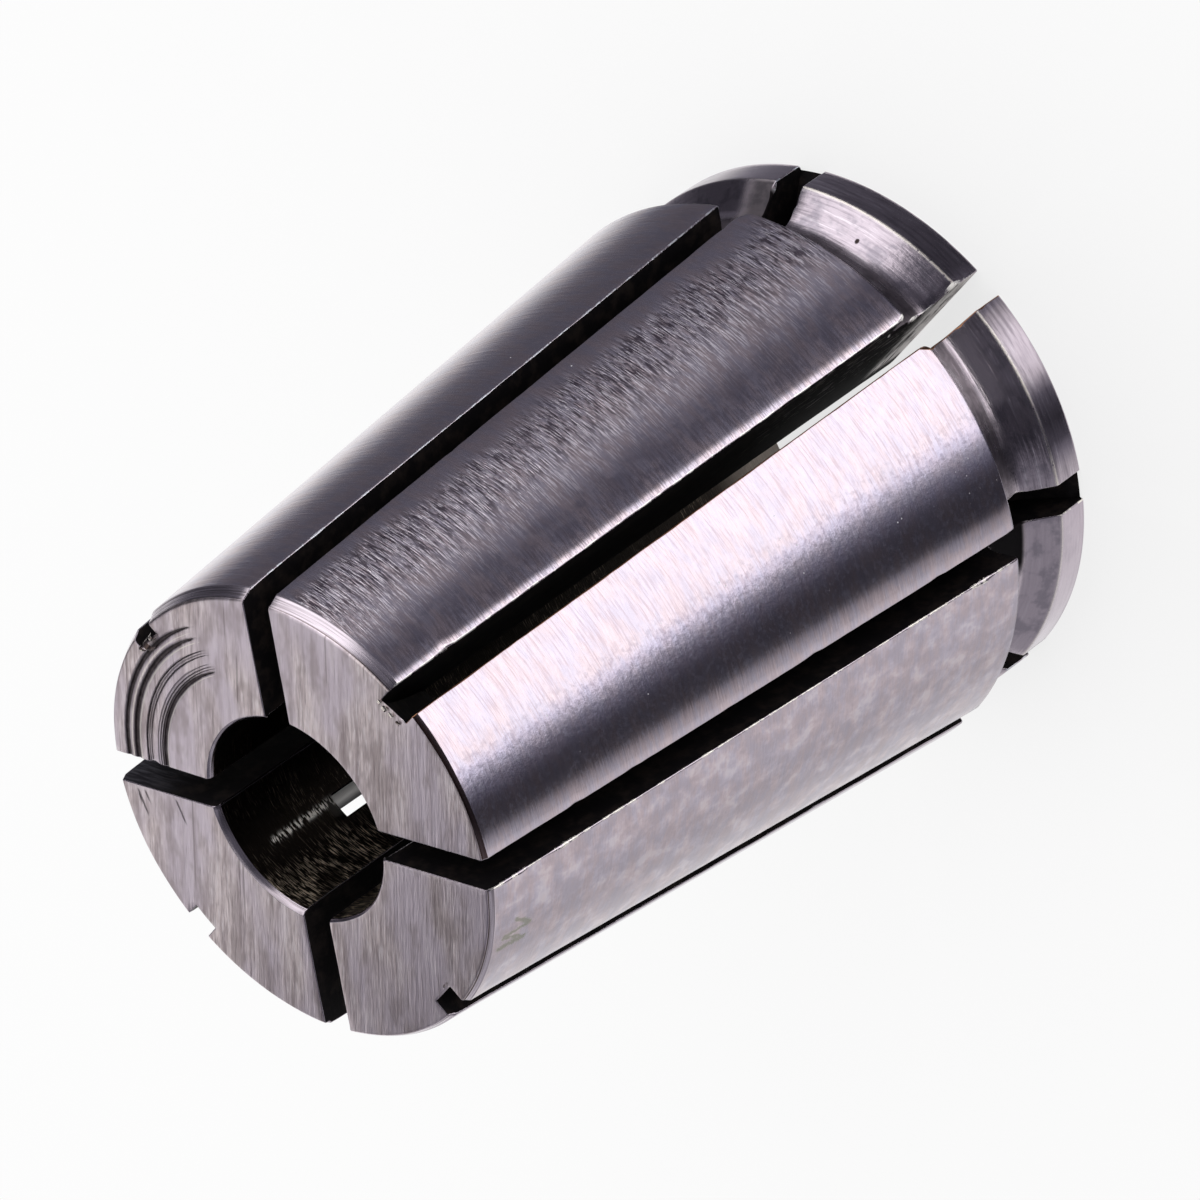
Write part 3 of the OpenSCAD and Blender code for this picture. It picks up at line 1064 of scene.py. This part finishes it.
# %% [markdown]
# ## Camera
# The camera stands where the photographer's stood: in front of one slit, looking down past the
# small end, and rolled so that the axis runs from the lower left to the upper right. The lens is
# long, because a macro lens was used from some distance.

# %% Place the camera
aim = Vector((-0.03, -0.9, 11.75)) * MM
view_azimuth, view_elevation, view_roll = -97.98, 39.24, 125.16
view_distance = 196.4 * MM
lens_mm, sensor_mm = 219.85, 36.0


def direction(azimuth_deg, elevation_deg):
    """Unit vector from the part toward an azimuth and an elevation."""
    a, e = math.radians(azimuth_deg), math.radians(elevation_deg)
    return Vector((math.cos(e) * math.cos(a), math.cos(e) * math.sin(a), math.sin(e)))


toward = direction(view_azimuth, view_elevation)
level_right = Vector((0, 0, 1)).cross(toward).normalized()
level_up = toward.cross(level_right)
roll = math.radians(view_roll)
up = level_up * math.cos(roll) + level_right * math.sin(roll)
right = up.cross(toward)
camera = bpy.data.objects.new("camera", bpy.data.cameras.new("camera"))
camera.data.lens = lens_mm
camera.data.sensor_width = sensor_mm
camera.data.clip_start = 0.005
turned = Matrix((right, up, toward)).transposed().to_4x4()
camera.matrix_world = Matrix.Translation(aim + toward * view_distance) @ turned
bpy.context.scene.collection.objects.link(camera)
bpy.context.scene.camera = camera
print("camera at", [round(v / MM, 1) for v in camera.location], "mm")

# %% [markdown]
# ## Studio
# Bare steel shows what stands round it. The floor is pale and keeps the part's shadow. Plain
# white paper would come out grey where it isn't fully lit, so three quarters of what the camera
# sees of it is its own white glow, which gives no light to the scene. Two large soft lamps, one
# in front and one above behind, light what isn't bright metal.

# %% Floor
floor_mesh = bpy.data.meshes.new("floor")
half_floor = 0.6
corner_signs = ((-1, -1), (1, -1), (1, 1), (-1, 1))
floor_mesh.from_pydata([(sx * half_floor, sy * half_floor, 0) for sx, sy in corner_signs], [], [(0, 1, 2, 3)])
floor_object = bpy.data.objects.new("floor", floor_mesh)
bpy.context.scene.collection.objects.link(floor_object)


def seen_directly(tree):
    """1 for camera, glossy and transmission rays, and 0 for the light that the scene bounces."""
    path = tree.node("ShaderNodeLightPath").socket.node.outputs
    rays = [Value(tree, path[n]) for n in ("Is Camera Ray", "Is Glossy Ray", "Is Transmission Ray")]
    return rays[0].math("MAXIMUM", rays[1]).math("MAXIMUM", rays[2])


floor_material = bpy.data.materials.new("pale_floor")
floor_material.use_nodes = True
tree = Tree(floor_material.node_tree)
paper = tree.node("ShaderNodeBsdfDiffuse", None, {"Color": (0.9, 0.9, 0.9, 1)})
white = tree.node("ShaderNodeEmission", None, {"Color": (1, 1, 1, 1), "Strength": 1.0})
glow_share = 0.75
surface = tree.node("ShaderNodeMixShader", None, {0: seen_directly(tree) * glow_share, 1: paper, 2: white})
tree.node("ShaderNodeOutputMaterial", None, {"Surface": surface})
floor_mesh.materials.append(floor_material)
print("floor", 2 * half_floor, "m across")

# %% World
world = bpy.data.worlds.new("world")
world.use_nodes = True
tree = Tree(world.node_tree)
lighting, seen = 0.7, 1.0
strength = lighting + (seen - lighting) * seen_directly(tree)
sky = tree.node("ShaderNodeBackground", None, {"Color": (1, 1, 1, 1), "Strength": strength})
tree.node("ShaderNodeOutputWorld", None, {"Surface": sky})
bpy.context.scene.world = world
print("the world lights the scene at", lighting, "and is seen at", seen)

# %% Lamps


def softbox(name, azimuth, elevation, distance, width, height, radiance):
    """A soft lamp aimed at the part's middle; radiance 1 is as bright as white paper in full light."""
    data = bpy.data.lights.new(name, "AREA")
    data.shape = "RECTANGLE"
    data.size, data.size_y = width * MM, height * MM
    data.energy = radiance * math.pi * width * height * MM ** 2
    lamp = bpy.data.objects.new(name, data)
    place = direction(azimuth, elevation)
    lamp.location = Vector((0, 0, 12)) * MM + place * distance * MM
    lamp.rotation_euler = place.to_track_quat("Z", "Y").to_euler()
    lamp.visible_camera = lamp.visible_glossy = False
    bpy.context.scene.collection.objects.link(lamp)
    return lamp


lamps = [
    softbox("front_softbox", -60, 35, 250, 160, 160, 1.2),
    softbox("top_softbox", 60, 60, 250, 200, 200, 1.6),
]
print("lamps:", [lamp.name for lamp in lamps])

# %% [markdown]
# ## Cards round the part
# A round, bright part mirrors everything beside it, so a photographer builds its look with
# cards: white ones for the bands of light, black ones for the dark edges between. Here one ring
# of cards stands round the part and lies on the floor before it. Each strip of the ring is laid
# out along the line that one line of the seat mirrors for the camera. Only reflections see it.
# A picture of a studio would be quicker, but its bands would fall where that studio had them.

# %% Tones of the cards, by the angle on the seat that mirrors them
# Close to the foot of the part, which the band of the rim mirrors
near_tones = [
    (-178, 1.0), (-136, 0.95), (-130, 0.66), (-127, 0.32), (-124, 0.10), (-120, 0.05), (-117, 0.07),
    (-114, 0.16), (-112, 0.45), (-109, 1.2), (-103, 1.5), (-99, 1.15), (-96, 0.62), (-93, 0.20),
    (-84, 0.06), (-60, 0.10), (-44, 0.17), (-37, 0.19), (-31, 0.30), (-22, 0.85), (-8, 1.0),
]
# The next stretch, which the groove mirrors
groove_tones = [
    (-178, 0.6), (-136, 0.45), (-130, 0.33), (-127, 0.15), (-124, 0.06), (-115, 0.08), (-112, 0.15),
    (-103, 0.17), (-97, 0.13), (-94, 0.09), (-86, 0.04), (-76, 0.045), (-73, 0.11), (-70, 0.17),
    (-64, 0.13), (-60, 0.08), (-52, 0.09), (-49, 0.20), (-44, 0.12), (-37, 0.06), (-34, 0.02),
    (-28, 0.02), (-22, 0.12), (-8, 0.5),
]
# The floor further out, which the seat mirrors
floor_tones = [
    (-178, 1.0), (-166, 0.85), (-155, 0.74), (-148, 0.88), (-134, 0.97), (-129, 0.72), (-126, 0.05),
    (-121, 0.055), (-119.5, 0.075), (-118, 0.12), (-116.5, 0.20), (-115, 0.42), (-113.5, 0.66),
    (-112, 1.45), (-110, 2.1), (-105, 2.25), (-90, 2.3), (-88, 0.55), (-86, 0.25), (-84.5, 0.23),
    (-83, 0.19), (-79, 0.18), (-75, 0.30), (-70, 0.46), (-65, 0.38), (-60, 0.30), (-55, 0.17),
    (-40, 0.135), (-31, 0.18), (-26, 0.58), (-19, 1.15), (-8, 1.2),
]
# The upright part of the ring, which the flare mirrors
wall_tones = [
    (-178, 0.42), (-136, 0.42), (-128, 0.28), (-123, 0.05), (-116, 0.05), (-110, 0.10), (-96, 0.10),
    (-90, 0.06), (-86, 0.12), (-79, 0.18), (-76, 0.33), (-73, 1.8), (-56, 1.7), (-51, 0.90),
    (-47, 0.15), (-42, 0.05), (-22, 0.06), (-15, 0.50), (-8, 0.50),
]
print("brightest tone", max(tone for stops in (near_tones, groove_tones, floor_tones, wall_tones) for _, tone in stops))

# %% A card


def card(name, points, quads, tones):
    """A glowing card that only reflections see. Its dark tones are a little blue."""
    made_mesh = bpy.data.meshes.new(name)
    made_mesh.from_pydata([tuple(c * MM for c in p) for p in points], [], quads)
    colours = made_mesh.color_attributes.new("tone", "FLOAT_COLOR", "POINT")
    for n, tone in enumerate(tones):
        colours.data[n].color = (tone, tone, tone * (1.22 - 0.22 * min(1.0, tone / 0.6)), 1)
    material = bpy.data.materials.new(name)
    material.use_nodes = True
    tree = Tree(material.node_tree)
    tone = tree.node("ShaderNodeAttribute", {"attribute_name": "tone"})
    glow = tree.node("ShaderNodeEmission", None, {"Color": tone})
    tree.node("ShaderNodeOutputMaterial", None, {"Surface": glow})
    made_mesh.materials.append(material)
    made = bpy.data.objects.new(name, made_mesh)
    made.visible_camera = made.visible_diffuse = made.visible_shadow = made.visible_transmission = False
    bpy.context.scene.collection.objects.link(made)
    print(name, "has", len(quads), "faces")


# %% Ring of cards
ring_r = 90.0
foot_r = 8.1
card_lift = 0.03
# Distances from the foot, in mm, between which each tone of the floor lies
near_out, groove_out, floor_out = (0, 1.2), (1.5, 2.9), 3.4
wall_foot = 10.0
# Height of the ring's top, by angle
top_stops = [(-178, 120), (-140, 120), (-130, 190), (-75, 190), (-65, 120), (-8, 120)]
points, quads, tones = [], [], []
for seat_deg in range(-178, -7, 2):
    foot = Vector((math.cos(math.radians(seat_deg)), math.sin(math.radians(seat_deg)))) * foot_r
    mirrored = math.radians(2 * seat_deg - round(view_azimuth))
    away = Vector((math.cos(mirrored), math.sin(mirrored)))
    reach = -foot.dot(away) + math.sqrt(foot.dot(away) ** 2 - foot.dot(foot) + ring_r ** 2)
    row = [(out, card_lift) for out in (*near_out, *groove_out, floor_out, reach)]
    row += [(reach, wall_foot), (reach, value_at(top_stops, seat_deg))]
    points += [(*(foot + away * out), height) for out, height in row]
    for stops in (near_tones, groove_tones, floor_tones, wall_tones):
        tones += [value_at(stops, seat_deg)] * 2
rows = len(row)
for k in range(len(points) // rows - 1):
    first = rows * k
    quads += [(first + n, first + n + 1, first + n + rows + 1, first + n + rows) for n in range(rows - 1)]
card("ring_card", points, quads, tones)

# %% Grey card overhead
# The small face mirrors it on one side only, which shades the face from right to left
card_left, card_right, card_front, card_back, card_z = -80, 5.4, -10, 110, 64
overhead = [(card_left, card_front), (card_right, card_front), (card_right, card_back), (card_left, card_back)]
card("overhead_card", [(cx, cy, card_z) for cx, cy in overhead], [(0, 1, 2, 3)], [0.12] * 4)

bpy.context.scene.view_settings.view_transform = "Standard"
